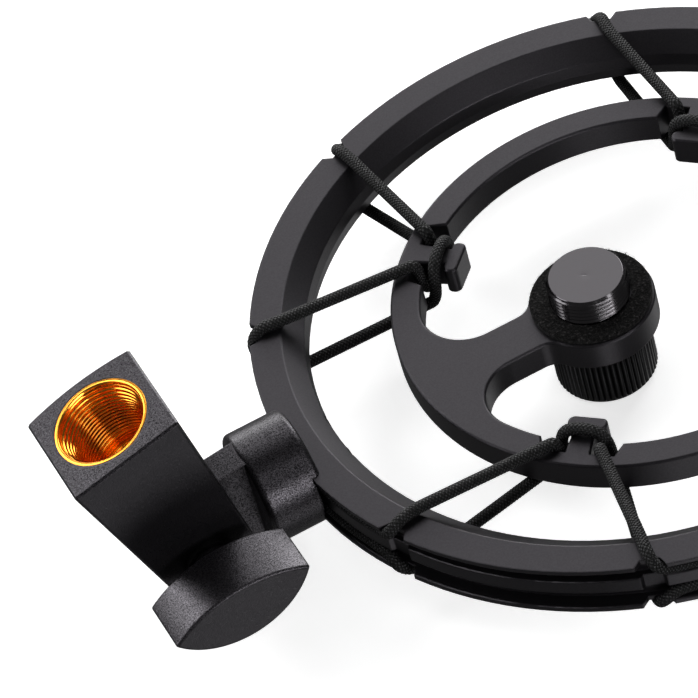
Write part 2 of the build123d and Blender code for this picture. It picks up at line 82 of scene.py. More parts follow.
# ---- the elastic cords: the solids' route, drawn tight over the edges, in metres ----
STATIONS = (225, 315, 45, 135)       # the order in which a loop visits the hooks
HOOK_ANGLES = {45: 45, 135: 135, 225: 226.7, 315: 315}
CORD_R = 1.25 * MM
GROOVE_CORD_R = OUTER_R - 1.55 * MM
NOTCH_OFFSET = 20.1                  # degrees from a station to each of its two notches
GROOVE_FROM_FACE = 2.605 * MM        # from a flat face of the ring to the middle of its groove
GROOVE_STEP = 5                      # degrees between the route's points in a groove
CORD_START = 180                     # the angle behind the bracket, where a loop closes
LEAD_IN = 6.5                        # degrees of groove over which a cord swings into its notch
# at this share of its lead-in, a cord has moved this far out, and this far towards the ring's face
LEAD_LIFT = (0.45, 0.3 * MM, 0.1 * MM)
# through a notch: how far in from the ring's outside, degrees past the notch, and how far
# out of the ring's face
NOTCH_PLACES = (
    (0.2 * MM, 0.8, -1.15 * MM),
    (2.3 * MM, -0.2, 1.25 * MM),
    (5.9 * MM, -0.9, 1.35 * MM),
)
RUN_ENDS = (4.5 * MM, 2.8 * MM)      # the straight run starts and ends this far from its supports
# leg and neck hold a radius and a sideways offset from the hook's middle line, and a height
UPPER = dict(
    face_z=RING_TOP,
    away=1,                          # which way along Z the loop leaves the ring
    leg=(44.2 * MM, 4.1 * MM, PLATE_TOP + 1.25 * MM),
    neck=(43.6 * MM, 3.95 * MM, PLATE_BOTTOM - 1.35 * MM),
    hook_end=44.8 * MM,              # from the frame's middle; inside this the cord stays with it
)
LOWER = dict(
    face_z=RING_BOTTOM,
    away=-1,
    leg=(41.0 * MM, 5.1 * MM, PLATE_BOTTOM - 1.3 * MM),
    neck=(40.75 * MM, 4.3 * MM, PLATE_TOP + 1.5 * MM),
    hook_end=43 * MM,
)
CORD_STEP = 0.15 * MM
CORD_SIDES = 36
BRAID_STRANDS = 8                    # strands that wind each way
BRAID_PITCH = 5.6 * MM
BRAID_RELIEF = 0.15 * MM
BRAID_DIP = 0.45                     # a strand's height where it dives under another, as a share


def ring_point(radius, angle, z):
    """A point at a radius and an angle about the outer ring's axis."""
    a = radians(angle)
    return Vector((OUTER_X + radius * cos(a), radius * sin(a), z))


def hook_point(station, side, place):
    """A point beside a hook; place holds its radius, its sideways offset and its height."""
    a = radians(HOOK_ANGLES[station])
    radius, offset, z = place
    offset *= side
    x = INNER_X + radius * cos(a) - offset * sin(a)
    return Vector((x, radius * sin(a) + offset * cos(a), z))


def half_visit(station, side, loop):
    """The route's points from the groove to the hook, on one side of a station."""
    notch = station + side * NOTCH_OFFSET
    face_z, away = loop["face_z"], loop["away"]
    groove_z = face_z - away * GROOVE_FROM_FACE
    lead_share, lead_out, lead_up = LEAD_LIFT
    lead_angle = notch + side * LEAD_IN * lead_share
    through_notch = [
        ring_point(OUTER_R - inward, notch + side * past, face_z + away * proud)
        for inward, past, proud in NOTCH_PLACES
    ]
    ridge = through_notch[-1]
    leg = hook_point(station, side, loop["leg"])
    along = (leg - ridge).normalized()
    from_ridge, from_leg = RUN_ENDS
    return [
        ring_point(GROOVE_CORD_R, notch + side * LEAD_IN, groove_z),
        ring_point(GROOVE_CORD_R + lead_out, lead_angle, groove_z + away * lead_up),
        *through_notch,
        ridge + along * from_ridge,
        leg - along * from_leg,
        leg,
        hook_point(station, side, loop["neck"]),
    ]


def groove_points(start, end, z):
    """Points round the groove between two angles, both left out."""
    count = max(2, round((end - start) / GROOVE_STEP))
    angles = [start + (end - start) * i / count for i in range(1, count)]
    radius = GROOVE_CORD_R / cos(radians((end - start) / count / 2))
    return [ring_point(radius, a, z) for a in angles]


def loop_route(loop):
    """The control points of a whole loop, and the two end points of each visit to a hook."""
    away = NOTCH_OFFSET + LEAD_IN
    z = loop["face_z"] - loop["away"] * GROOVE_FROM_FACE
    points = [ring_point(GROOVE_CORD_R, CORD_START, z)]
    ends = []
    last = CORD_START
    for station in STATIONS:
        angle = station if station > CORD_START else station + 360
        points += groove_points(last, angle - away, z)
        visit = half_visit(station, -1, loop) + half_visit(station, 1, loop)[::-1]
        points += visit
        ends += [visit[0], visit[-1]]
        last = angle + away
    points += groove_points(last, CORD_START + 360, z)
    points.append(ring_point(GROOVE_CORD_R, CORD_START, z))
    return points, ends


def nurbs_line(points):
    """Points along the smooth NURBS line whose control points these are."""
    curve = bpy.data.curves.new("route", "CURVE")
    curve.dimensions = "3D"
    spline = curve.splines.new("NURBS")
    spline.points.add(len(points) - 1)
    for place, p in zip(spline.points, points):
        place.co = (*p, 1)
    spline.order_u = 3
    spline.use_endpoint_u = True
    spline.resolution_u = 10
    holder = bpy.data.objects.new("route", curve)
    mesh = bpy.data.meshes.new_from_object(holder)
    line = np.array([v.co for v in mesh.vertices], float)
    bpy.data.objects.remove(holder)
    bpy.data.meshes.remove(mesh)
    bpy.data.curves.remove(curve)
    return line


def even_steps(line, step):
    """The line again, with points a fixed step apart, and each point's length from the start."""
    repeat = 1e-9
    run = np.r_[0, np.cumsum(np.linalg.norm(np.diff(line, axis=0), axis=1))]
    keep = np.r_[True, np.diff(run) > repeat]
    along = np.linspace(0, run[-1], int(run[-1] / step) + 1)
    return np.stack([np.interp(along, run[keep], line[keep, i]) for i in range(3)], 1), along


def turning_frames(line):
    """Two unit vectors across the line at each point, carried along it without twist."""
    tangent = np.gradient(line, axis=0)
    tangent /= np.linalg.norm(tangent, axis=1)[:, None]
    across = np.zeros_like(line)
    first = np.cross(tangent[0], (0, 0, 1))
    across[0] = first / np.linalg.norm(first)
    for i in range(1, len(line)):
        v = across[i - 1] - tangent[i] * (across[i - 1] @ tangent[i])
        across[i] = v / np.linalg.norm(v)
    return across, np.cross(tangent, across)


def braid_height(along, around):
    """From 0 to 1, how high the braid's strands stand at a length and a turn about the cord."""
    a = BRAID_STRANDS * (around + along / BRAID_PITCH)
    b = BRAID_STRANDS * (around - along / BRAID_PITCH)
    fa, fb = a % 1 - 0.5, b % 1 - 0.5
    a_on_top = (np.floor(a) + np.floor(b)) % 2 == 0
    across, length = np.where(a_on_top, fa, fb), np.where(a_on_top, fb, fa)
    crown = np.sqrt(np.clip(np.cos(pi * across), 0, 1))
    return crown * (BRAID_DIP + (1 - BRAID_DIP) * np.cos(pi * length))


def mesh_object(name, vertices, faces, smooth=True):
    """A new mesh object in the scene."""
    mesh = bpy.data.meshes.new(name)
    mesh.from_pydata([tuple(v) for v in vertices], [], [tuple(f) for f in faces])
    mesh.validate()
    if smooth:
        mesh.shade_smooth()
    obj = bpy.data.objects.new(name, mesh)
    bpy.context.scene.collection.objects.link(obj)
    return obj


def grid_faces(rows, columns, closed=True):
    """Quads over rows of points; closed joins each row's last point to its first."""
    across = columns if closed else columns - 1
    i, j = np.meshgrid(np.arange(rows - 1), np.arange(across), indexing="ij")
    k = (j + 1) % columns
    row, next_row = i * columns, (i + 1) * columns
    quads = np.stack([row + j, row + k, next_row + k, next_row + j], -1)
    return quads.reshape(-1, 4).tolist()


def braided_tube(name, line, along, across, up):
    """A braided tube round part of a cord's line. Its UV map holds length and turn."""
    around = np.arange(CORD_SIDES) / CORD_SIDES
    u, v = np.meshgrid(along, around, indexing="ij")
    height = braid_height(u, v)
    radius = CORD_R - BRAID_RELIEF * (1 - height)
    c, s = np.cos(2 * pi * v)[..., None], np.sin(2 * pi * v)[..., None]
    points = line[:, None] + radius[..., None] * (across[:, None] * c + up[:, None] * s)
    obj = mesh_object(name, points.reshape(-1, 3), grid_faces(len(line), CORD_SIDES))
    layer = obj.data.uv_layers.new(name="braid")
    corner = np.zeros(len(obj.data.loops), np.int32)
    obj.data.loops.foreach_get("vertex_index", corner)
    turn = v.reshape(-1)[corner].reshape(-1, 4)
    # a face over the seam has corners near a whole turn and near none; the low ones go past it
    crosses_seam = turn.max(1, keepdims=True) > 0.75
    turn = np.where(crosses_seam & (turn < 0.25), turn + 1, turn)
    uv = np.stack([u.reshape(-1)[corner] / BRAID_PITCH, turn.reshape(-1)], 1)
    layer.data.foreach_set("uv", uv.astype(np.float32).ravel())
    return obj


def make_cord(name, loop):
    """A loop as braided tubes, one over each hook and one for each run in the groove.

    Each comes with the station that it visits, or None.
    """
    points, ends = loop_route(loop)
    line, along = even_steps(nurbs_line(points), CORD_STEP)
    across, up = turning_frames(line)
    cuts = [int(np.argmin(np.linalg.norm(line - np.array(p), axis=1))) for p in ends]
    pieces = []
    for i, (first, last) in enumerate(zip([0, *cuts], [*cuts, len(line) - 1])):
        part = slice(first, last + 1)
        is_visit = i % 2 == 1
        kind = "over_hook" if is_visit else "in_groove"
        label = f"{name}_{kind}_{i // 2 + 1}"
        piece = braided_tube(label, line[part], along[part], across[part], up[part])
        pieces.append((piece, STATIONS[i // 2] if is_visit else None))
    return pieces


def ride_cord(name, loop):
    """Makes a loop: its runs in the groove ride on the ring, and its visits over the hooks stay
    fixed where they are drawn.
    """
    for piece, station in make_cord(name, loop):
        piece.data.materials.append(materials["elastic_cord"])
        if station is None:
            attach(piece, "ring")
        else:
            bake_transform(piece)
        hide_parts(name)


# ---- materials ----
materials = {}
COAT_TINT = (0.96, 0.90, 1.0, 1)       # the black coats reflect a little violet
COAT_EDGE = 0.42 * MM                  # how far a coat softens the edges under it
BLACK, SOFT_BLACK = (0.0035, 0.0033, 0.0038), (0.0048, 0.0045, 0.0052)
CLOUD_SCALE = 55                       # noise scales are waves in a metre
GLINT_SPECK_SPAN = (0.68, 0.76)              # the noise values between which a pale speck, a painted glint, fades in
GLINT_SPECK_FINENESS = 1.7                   # how much finer the painted glint specks are than the grain
GLOSS_SPAN = (0.32, 0.68)              # the noise values between which the gloss rises
GLOSS_FINENESS = 1.3
FRONT_SPAN = (0.88, 0.96)              # how squarely a face looks forward, from not a front to one
TOOL_MARKS_SCALE = 1800
MIX_FACTOR, MIX_COLOUR_A, MIX_COLOUR_B, MIX_COLOUR_OUT = 0, 6, 7, 2   # a colour Mix node's sockets


def node(tree, kind, **inputs):
    """A new node, with values for its named inputs."""
    made = tree.nodes.new(kind)
    for name, value in inputs.items():
        made.inputs[name.replace("_", " ")].default_value = value
    return made


def new_material(name, colour, roughness, metallic=0.0, specular=0.5):
    """A material with its Principled node, both to be detailed."""
    material = bpy.data.materials.new(name)
    material.use_nodes = True
    shader = material.node_tree.nodes["Principled BSDF"]
    shader.inputs["Base Color"].default_value = (*colour, 1)
    shader.inputs["Roughness"].default_value = roughness
    shader.inputs["Metallic"].default_value = metallic
    shader.inputs["Specular IOR Level"].default_value = specular
    materials[name] = material
    return material.node_tree, shader


def object_place(tree):
    """The piece's own coordinates, in metres."""
    return tree.nodes.new("ShaderNodeTexCoord").outputs["Object"]


def noise(tree, scale, detail):
    """A noise value over the piece's own coordinates."""
    made = node(tree, "ShaderNodeTexNoise", Scale=scale, Detail=detail)
    tree.links.new(object_place(tree), made.inputs["Vector"])
    return made.outputs["Fac"]


def math_node(tree, operation, *values):
    """A Math node's result; each value is a number or another node's output."""
    made = tree.nodes.new("ShaderNodeMath")
    made.operation = operation
    for socket, value in zip(made.inputs, values):
        if isinstance(value, (int, float)):
            socket.default_value = value
        else:
            tree.links.new(value, socket)
    return made.outputs[0]


def ramp(tree, value, stops):
    """A colour ramp from (place, colour) stops; a number stands for a grey."""
    made = tree.nodes.new("ShaderNodeValToRGB")
    while len(made.color_ramp.elements) < len(stops):
        made.color_ramp.elements.new(0.5)
    for element, (at, colour) in zip(made.color_ramp.elements, stops):
        element.position = at
        element.color = (*colour, 1) if isinstance(colour, tuple) else (colour, colour, colour, 1)
    tree.links.new(value, made.inputs["Fac"])
    return made.outputs["Color"]


def ramp_to(tree, value, socket, low, high, span=(0.3, 0.7)):
    """Feeds a shader's socket from low to high as a value goes over a span."""
    tree.links.new(ramp(tree, value, [(span[0], low), (span[1], high)]), socket)


def add_bump(tree, shader, height, distance):
    """Raises the surface by a height, over any bump that the shader already has."""
    made = node(tree, "ShaderNodeBump", Distance=distance, Strength=1.0)
    tree.links.new(height, made.inputs["Height"])
    before = shader.inputs["Normal"].links
    if before:
        tree.links.new(before[0].from_socket, made.inputs["Normal"])
    tree.links.new(made.outputs["Normal"], shader.inputs["Normal"])


def faces_front(tree):
    """1 on faces that look towards the piece's -Y side, 0 on the others."""
    split = tree.nodes.new("ShaderNodeSeparateXYZ")
    tree.links.new(tree.nodes.new("ShaderNodeTexCoord").outputs["Normal"], split.inputs["Vector"])
    forward = math_node(tree, "MULTIPLY", split.outputs["Y"], -1.0)
    return ramp(tree, forward, [(FRONT_SPAN[0], 0.0), (FRONT_SPAN[1], 1.0)])


def coated_finish(name, tones, roughness, gloss, grain, depth, glint_specks=0.0, front_gloss=None):
    """A coated or moulded surface: cloudy colour, uneven gloss, a grain and pale specks painted in
    as glints.

    tones, roughness and gloss are each (lowest, highest); grain is the grain's noise scale and
    depth its height; glint_specks is the brightness of the painted glint specks; front_gloss keeps
    the front faces' gloss even.
    """
    tree, shader = new_material(name, tones[0], sum(roughness) / 2)
    shader.inputs["Specular Tint"].default_value = COAT_TINT
    soft_edges = node(tree, "ShaderNodeBevel", Radius=COAT_EDGE)
    tree.links.new(soft_edges.outputs["Normal"], shader.inputs["Normal"])
    cloud = noise(tree, CLOUD_SCALE, 4)
    colour = ramp(tree, cloud, [(0.3, tones[0]), (0.7, tones[1])])
    fine = noise(tree, grain, 5)
    # pale specks painted into the coat's colour as glints of sparkle
    if glint_specks:
        glint_speck = noise(tree, grain * GLINT_SPECK_FINENESS, 2)
        glint_mask = ramp(tree, glint_speck, [(GLINT_SPECK_SPAN[0], 0.0), (GLINT_SPECK_SPAN[1], 1.0)])
        mixed = tree.nodes.new("ShaderNodeMix")
        mixed.data_type = "RGBA"
        mixed.inputs[MIX_COLOUR_B].default_value = (glint_specks, glint_specks, glint_specks, 1)
        tree.links.new(glint_mask, mixed.inputs[MIX_FACTOR])
        tree.links.new(colour, mixed.inputs[MIX_COLOUR_A])
        colour = mixed.outputs[MIX_COLOUR_OUT]
    tree.links.new(colour, shader.inputs["Base Color"])
    ramp_to(tree, fine, shader.inputs["Roughness"], *roughness)
    patchy = noise(tree, grain * GLOSS_FINENESS, 2)
    shine = ramp(tree, patchy, [(GLOSS_SPAN[0], gloss[0]), (GLOSS_SPAN[1], gloss[1])])
    if front_gloss:
        plain = tree.nodes.new("ShaderNodeMix")
        plain.inputs["B"].default_value = front_gloss
        tree.links.new(faces_front(tree), plain.inputs["Factor"])
        tree.links.new(shine, plain.inputs["A"])
        shine = plain.outputs["Result"]
    tree.links.new(shine, shader.inputs["Specular IOR Level"])
    add_bump(tree, shader, fine, depth)


def turned_metal(name, colour, roughness, rings, depth):
    """A lathe-turned metal: fine concentric marks about the piece's Z axis."""
    tree, shader = new_material(name, colour, roughness, metallic=1.0)
    wave = tree.nodes.new("ShaderNodeTexWave")
    wave.wave_type = "RINGS"
    wave.rings_direction = "Z"
    wave.inputs["Scale"].default_value = rings
    wave.inputs["Distortion"].default_value = 0.6
    tree.links.new(object_place(tree), wave.inputs["Vector"])
    add_bump(tree, shader, wave.outputs["Fac"], depth)
    fine = noise(tree, TOOL_MARKS_SCALE, 3)
    ramp_to(tree, fine, shader.inputs["Roughness"], roughness * 0.85, roughness * 1.2)


def braid_pattern(tree):
    """The braid's height from its UV map, by the formula that shapes the mesh."""
    uv = tree.nodes.new("ShaderNodeUVMap")
    uv.uv_map = "braid"
    split = tree.nodes.new("ShaderNodeSeparateXYZ")
    tree.links.new(uv.outputs["UV"], split.inputs["Vector"])
    length, turn = split.outputs["X"], split.outputs["Y"]
    a = math_node(tree, "MULTIPLY", math_node(tree, "ADD", turn, length), BRAID_STRANDS)
    b = math_node(tree, "MULTIPLY", math_node(tree, "SUBTRACT", turn, length), BRAID_STRANDS)
    middle_a = math_node(tree, "SUBTRACT", math_node(tree, "FRACT", a), 0.5)
    middle_b = math_node(tree, "SUBTRACT", math_node(tree, "FRACT", b), 0.5)
    cells = math_node(tree, "ADD", math_node(tree, "FLOOR", a), math_node(tree, "FLOOR", b))
    b_on_top = math_node(tree, "FLOORED_MODULO", cells, 2.0)
    swap = math_node(tree, "MULTIPLY", math_node(tree, "SUBTRACT", middle_b, middle_a), b_on_top)
    across = math_node(tree, "ADD", middle_a, swap)
    lengthways = math_node(tree, "SUBTRACT", middle_b, swap)
    crown = math_node(tree, "COSINE", math_node(tree, "MULTIPLY", across, pi))
    crown = math_node(tree, "SQRT", math_node(tree, "MAXIMUM", crown, 0.0))
    arch = math_node(tree, "COSINE", math_node(tree, "MULTIPLY", lengthways, pi))
    arch = math_node(tree, "MULTIPLY_ADD", arch, 1 - BRAID_DIP, BRAID_DIP)
    return math_node(tree, "MULTIPLY", crown, arch)


def make_cord_material():
    """Black braid: raised yarns with fine threads; its colour holds painted shade in the gaps,
    painted light on the crowns and a few pale flecks of painted highlight on the highest crowns.
    """
    tree, shader = new_material("elastic_cord", (0.01, 0.01, 0.01), 0.5, specular=0.26)
    height = braid_pattern(tree)
    yarn = noise(tree, 5200, 3)
    uneven = math_node(tree, "MULTIPLY_ADD", yarn, 1.1, 0.35)
    rise = math_node(tree, "MULTIPLY", height, uneven)
    # colour by the braid's height: painted shade in the gaps, painted light on the crowns, painted
    # highlight flecks on the highest crowns
    gap_shade, shaded, lit = (0.0005, 0.0005, 0.0005), (0.002, 0.002, 0.0022), (0.008, 0.008, 0.0085)
    fleck_highlight = (0.09, 0.09, 0.095)
    stops = [(0.15, gap_shade), (0.55, shaded), (0.84, lit), (1.0, fleck_highlight)]
    tree.links.new(ramp(tree, rise, stops), shader.inputs["Base Color"])
    ramp_to(tree, height, shader.inputs["Roughness"], 0.75, 0.32, span=(0.2, 0.8))
    add_bump(tree, shader, height, 0.16 * MM)
    add_bump(tree, shader, yarn, 0.05 * MM)


def make_felt_material():
    """Black wool felt with tangled fibres and pale lint, its colour darkest in the bump's hollows
    as painted shade.
    """
    tree, shader = new_material("felt", (0.004, 0.004, 0.004), 0.95, specular=0.12)
    fibre = noise(tree, 2000, 7)
    # colour by the noise that raises the bump: painted shade in its hollows, the wool's own tone,
    # and pale lint on the raised spots
    gap_shade, wool, lint = (0.0008, 0.0008, 0.0008), (0.006, 0.0055, 0.0055), (0.042, 0.039, 0.04)
    stops = [(0.42, gap_shade), (0.56, wool), (0.7, lint)]
    tree.links.new(ramp(tree, fibre, stops), shader.inputs["Base Color"])
    add_bump(tree, shader, fibre, 0.3 * MM)
    shader.inputs["Sheen Weight"].default_value = 0.04
    shader.inputs["Sheen Roughness"].default_value = 0.6


def make_gold_material():
    """Bright orange-gold plated metal with faint tool marks."""
    tree, shader = new_material("insert_gold", (1.0, 0.42, 0.05), 0.17, metallic=1.0)
    marks = noise(tree, 420, 3)
    ramp_to(tree, marks, shader.inputs["Base Color"], (0.97, 0.39, 0.04), (1.0, 0.44, 0.06))
    ramp_to(tree, marks, shader.inputs["Roughness"], 0.15, 0.18)
    add_bump(tree, shader, marks, 0.0004 * MM)


SATIN = dict(tones=(BLACK, SOFT_BLACK), gloss=(0.45, 0.55), grain=2400, depth=0.008 * MM)
# the powder coats' pale specks are painted glints
POWDER = dict(tones=(BLACK, SOFT_BLACK), roughness=(0.26, 0.38), grain=3400, glint_specks=0.04)
COATED_FINISHES = {
    "ring_satin": dict(SATIN, roughness=(0.33, 0.40)),
    "frame_satin": dict(SATIN, roughness=(0.34, 0.41)),
    "powder_coat": dict(POWDER, gloss=(0.0, 1.15), depth=0.06 * MM),
    "block_coat": dict(POWDER, gloss=(0.0, 1.15), depth=0.05 * MM, front_gloss=0.42),
    "knob_black": dict(POWDER, gloss=(0.1, 1.15), depth=0.05 * MM, front_gloss=0.45),
    "nylon": dict(
        tones=((0.04, 0.04, 0.04), (0.05, 0.05, 0.05)),
        roughness=(0.5, 0.6), gloss=(0.45, 0.55), grain=1500, depth=0.02 * MM,
    ),
}
# name: colour, roughness, rings in the wave texture, and the marks' depth
TURNED_METALS = {
    "stud_black": ((0.105, 0.100, 0.106), 0.16, 900, 0.0006 * MM),
    "wheel_black": ((0.03, 0.0295, 0.031), 0.32, 900, 0.004 * MM),
    "screw_black": ((0.05, 0.05, 0.05), 0.4, 700, 0.005 * MM),
    "zinc_steel": ((0.55, 0.55, 0.56), 0.32, 800, 0.005 * MM),
    "washer_black": ((0.04, 0.04, 0.04), 0.4, 800, 0.005 * MM),
    "crimp_steel": ((0.5, 0.5, 0.51), 0.35, 700, 0.005 * MM),
}


def make_materials():
    """Every finish of the object."""
    for name, values in COATED_FINISHES.items():
        coated_finish(name, **values)
    for name, values in TURNED_METALS.items():
        turned_metal(name, *values)
    make_cord_material()
    make_felt_material()
    make_gold_material()


# ---- turned and threaded pieces ----
THREAD_PITCH = 25.4 / 27 * MM
THREAD_CREST_R = MOUNTS["mic_stud"]["dims"]["r_mm"] * MM
THREAD_DEPTH = 0.5 * MM
TURN_SIDES = 144
AXIS_R = 0.02 * MM                   # a turned end closes to this radius
WELD = 0.002 * MM                    # points this near are the same point
# how far along one turn, and how far from root (0) to crest (1)
THREAD_FORM = ((0.0, 0.0), (0.1, 0.02), (0.42, 0.97), (0.5, 1.0), (0.58, 0.97), (0.9, 0.02))
FLAT_THREAD_FORM = ((0.0, 0.0), (0.17, 0.86), (0.25, 0.95), (0.5, 1.0), (0.75, 0.95), (0.83, 0.86))


def thread_rows(low, high, radius_at, limit, thread_form=THREAD_FORM):
    """A helix of thread between two heights.

    radius_at(rise) is the form's radius from root to crest, and limit(z, radius) the one kept.
    """
    first = int(low / THREAD_PITCH) - 1
    turns = int((high - low) / THREAD_PITCH) + 3
    steps = turns * TURN_SIDES + 1
    form = (*thread_form, (1.0, 0.0))
    points = []
    for i in range(steps):
        angle = 2 * pi * i / TURN_SIDES
        for share, rise in form:
            z = (first + i / TURN_SIDES + share) * THREAD_PITCH
            z = min(max(z, low), high)
            r = limit(z, radius_at(rise))
            points.append((r * cos(angle), r * sin(angle), z))
    return points, grid_faces(steps, len(form), closed=False)


def lathe_rows(profile, sides=TURN_SIDES):
    """Points and faces of a surface turned about Z from (radius, height) points."""
    points = []
    for r, z in profile:
        for i in range(sides):
            angle = 2 * pi * i / sides
            points.append((r * cos(angle), r * sin(angle), z))
    return points, grid_faces(len(profile), sides)


def joined(name, parts, clean=True):
    """One object from several (points, faces) parts, with its folded faces removed."""
    points, faces = [], []
    for part_points, part_faces in parts:
        base = len(points)
        points += part_points
        faces += [tuple(i + base for i in f) for f in part_faces]
    obj = mesh_object(name, points, faces)
    if clean:
        shape = bmesh.new()
        shape.from_mesh(obj.data)
        bmesh.ops.remove_doubles(shape, verts=shape.verts, dist=WELD)
        bmesh.ops.dissolve_degenerate(shape, edges=shape.edges, dist=WELD)
        bmesh.ops.recalc_face_normals(shape, faces=shape.faces)
        shape.to_mesh(obj.data)
        shape.free()
    obj.data.shade_smooth()
    return obj


def rounded(profile, radius, steps=4):
    """A (radius, height) profile whose corners between its two ends are rounded."""
    most = 0.45                          # of an edge, the share that one corner may take
    least_slope = 0.05                   # keeps the reach finite at a corner that folds back
    out = [profile[0]]
    for before, corner, after in zip(profile, profile[1:], profile[2:]):
        b, c, a = (np.array(p, float) for p in (before, corner, after))
        u, v = (b - c), (a - c)
        lu, lv = np.linalg.norm(u), np.linalg.norm(v)
        u, v = u / lu, v / lv
        turn = acos(max(-1, min(1, float(u @ v))))
        reach = min(radius / max(np.tan(turn / 2), least_slope), lu * most, lv * most)
        start, end = c + u * reach, c + v * reach
        for i in range(steps + 1):
            t = i / steps
            p = (1 - t) ** 2 * start + 2 * t * (1 - t) * c + t**2 * end
            out.append((float(p[0]), float(p[1])))
    return [*out, profile[-1]]


def mark_sharp_edges(obj, angle):
    """Smooth shading, except over edges sharper than an angle in degrees."""
    obj.data.shade_smooth()
    obj.data.set_sharp_from_angle(angle=radians(angle))


def finish_piece(obj, material, body, replaced):
    """Gives a new piece its finish and its body, and hides the solid that it stands for."""
    obj.data.materials.append(materials[material])
    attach(obj, body)
    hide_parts(replaced)


def make_stud():
    """The microphone stud: a real thread, a turned top with a centre mark, and a plain shank."""
    low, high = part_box("mic_stud")
    root_r = THREAD_CREST_R - THREAD_DEPTH
    rim_r = THREAD_CREST_R - 0.65 * MM   # inside the top's chamfer
    thread = thread_rows(
        0.0, high.z,
        lambda rise: root_r + rise * THREAD_DEPTH,
        lambda z, r: min(r, rim_r + (high.z - z)),
    )
    rim_drop, rim_width = 0.02 * MM, 0.2 * MM
    softened = 0.05 * MM                 # how wide a softened edge is
    face_r = 2.0 * MM                    # a ring of points that keeps the face's quads short
    mark_r, mark_floor_r, mark_depth = 0.22 * MM, 0.08 * MM, 0.05 * MM
    top = [
        (rim_r, high.z - rim_drop),
        (rim_r - softened, high.z),
        (rim_r - rim_width, high.z),
        (face_r, high.z),
        (mark_r, high.z),
        (mark_r - softened, high.z - rim_drop),
        (mark_floor_r, high.z - mark_depth),
        (AXIS_R, high.z - mark_depth),
    ]
    shank_r, shank_chamfer, shank_drop = 7.4 * MM, 0.4 * MM, 0.1 * MM
    shank = [
        (root_r, 0.0),
        (shank_r, -shank_drop),
        (shank_r, low.z + shank_chamfer),
        (shank_r - shank_chamfer, low.z),
        (AXIS_R, low.z),
    ]
    stud = joined("stud_with_thread", [thread, lathe_rows(top), lathe_rows(shank)])
    finish_piece(stud, "stud_black", "mic_screw", "mic_stud")


def make_thumb_wheel():
    """The wheel under the eye: straight knurling between two chamfers, and a dished base."""
    low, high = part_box("thumb_wheel")
    radius = (high.y - low.y) / 2
    ribs, depth, edge = 54, 0.5 * MM, 0.55 * MM
    sides = ribs * 8
    shoulder_r, shoulder_cut, full_cut_from = radius - 0.1 * MM, 0.6, edge * 1.4
    top_face, rim_face, dish_slope = 1.2 * MM, 0.8 * MM, 0.5 * MM
    dish_z, hole_z = low.z + 0.5 * MM, low.z + 0.8 * MM
    hole_r, hole_chamfer = 3.6 * MM, 0.4 * MM
    # each row: radius, height, and how much of the knurl's depth it has
    rows = [
        (radius - edge - top_face, high.z, 0),
        (radius - edge, high.z, 0),
        (shoulder_r, high.z - edge, shoulder_cut),
        (radius, high.z - full_cut_from, 1),
        (radius, (low.z + high.z) / 2, 1),
        (radius, low.z + full_cut_from, 1),
        (shoulder_r, low.z + edge, shoulder_cut),
        (radius - edge, low.z, 0),
        (radius - edge - rim_face, low.z, 0),
        (radius - edge - rim_face - dish_slope, dish_z, 0),
        (hole_r + hole_chamfer, dish_z, 0),
        (hole_r, hole_z, 0),
        (AXIS_R, hole_z, 0),
    ]
    points = []
    sharpness = 1.5                      # above 1, the grooves narrow and the ribs widen
    for r, z, share in rows:
        for i in range(sides):
            angle = 2 * pi * i / sides
            groove = (1 - abs(sin(ribs * angle / 2))) ** sharpness
            cut = r - share * depth * groove
            points.append((cut * cos(angle), cut * sin(angle), z))
    wheel = joined("knurled_thumb_wheel", [(points, grid_faces(len(rows), sides))])
    mark_sharp_edges(wheel, angle=38)
    finish_piece(wheel, "wheel_black", "mic_screw", "thumb_wheel")


def make_insert():
    """The gold insert: rounded rim, chamfered mouth, stand thread, and a stepped floor."""
    mount = MOUNTS["stand_thread"]
    axis = Vector(mount["axis"])
    thread_r = mount["dims"]["r_mm"] * MM
    outer_r = 9.6 * MM
    mouth_r = 8.85 * MM
    depth = 17.0 * MM
    mouth_above_mount = 8.0 * MM
    thread_top, thread_bottom = -0.7 * MM, -14.5 * MM
    insert_depth = 0.34 * MM
    lead_in = 4.2 * MM                   # the height over which the thread widens to the mouth
    lead_r = mouth_r - 0.3 * MM
    step_r, step_chamfer = 5.2 * MM, 0.3 * MM
    behind = 0.3 * MM                    # the floor starts this far outside the thread's radius
    flare = 1.6                          # above 1, the mouth widens faster towards its top

    def inside(z, cut):
        """The radius at a height, for a cut into the bore."""
        near_top = max(0.0, 1 + (z - thread_top) / lead_in)
        return cut + thread_r + (lead_r - thread_r) * near_top**flare

    thread = thread_rows(
        thread_bottom, thread_top,
        lambda rise: (1 - rise) * insert_depth,
        inside,
        FLAT_THREAD_FORM,
    )
    mouth = rounded([
        (outer_r, -depth), (outer_r, 0.0), (mouth_r, 0.0), (mouth_r - 0.15 * MM, -0.3 * MM),
        (lead_r + 0.05 * MM, -0.5 * MM), (lead_r + 0.2 * MM, thread_top),
    ], 0.25 * MM)
    floor = rounded([
        (thread_r + behind, thread_bottom), (step_r + step_chamfer, thread_bottom),
        (step_r, thread_bottom - step_chamfer), (step_r, -depth), (outer_r, -depth),
    ], 0.15 * MM)
    insert = joined("threaded_stand_insert", [thread, lathe_rows(mouth), lathe_rows(floor)])
    top = Vector(mount["pos_m"]) + axis * mouth_above_mount
    turn = axis.to_track_quat("Z", "Y").to_matrix().to_4x4()
    insert.data.transform(Matrix.Translation(top) @ turn)
    insert.data.update()
    mark_sharp_edges(insert, angle=50)
    finish_piece(insert, "insert_gold", "stand", "thread_insert")


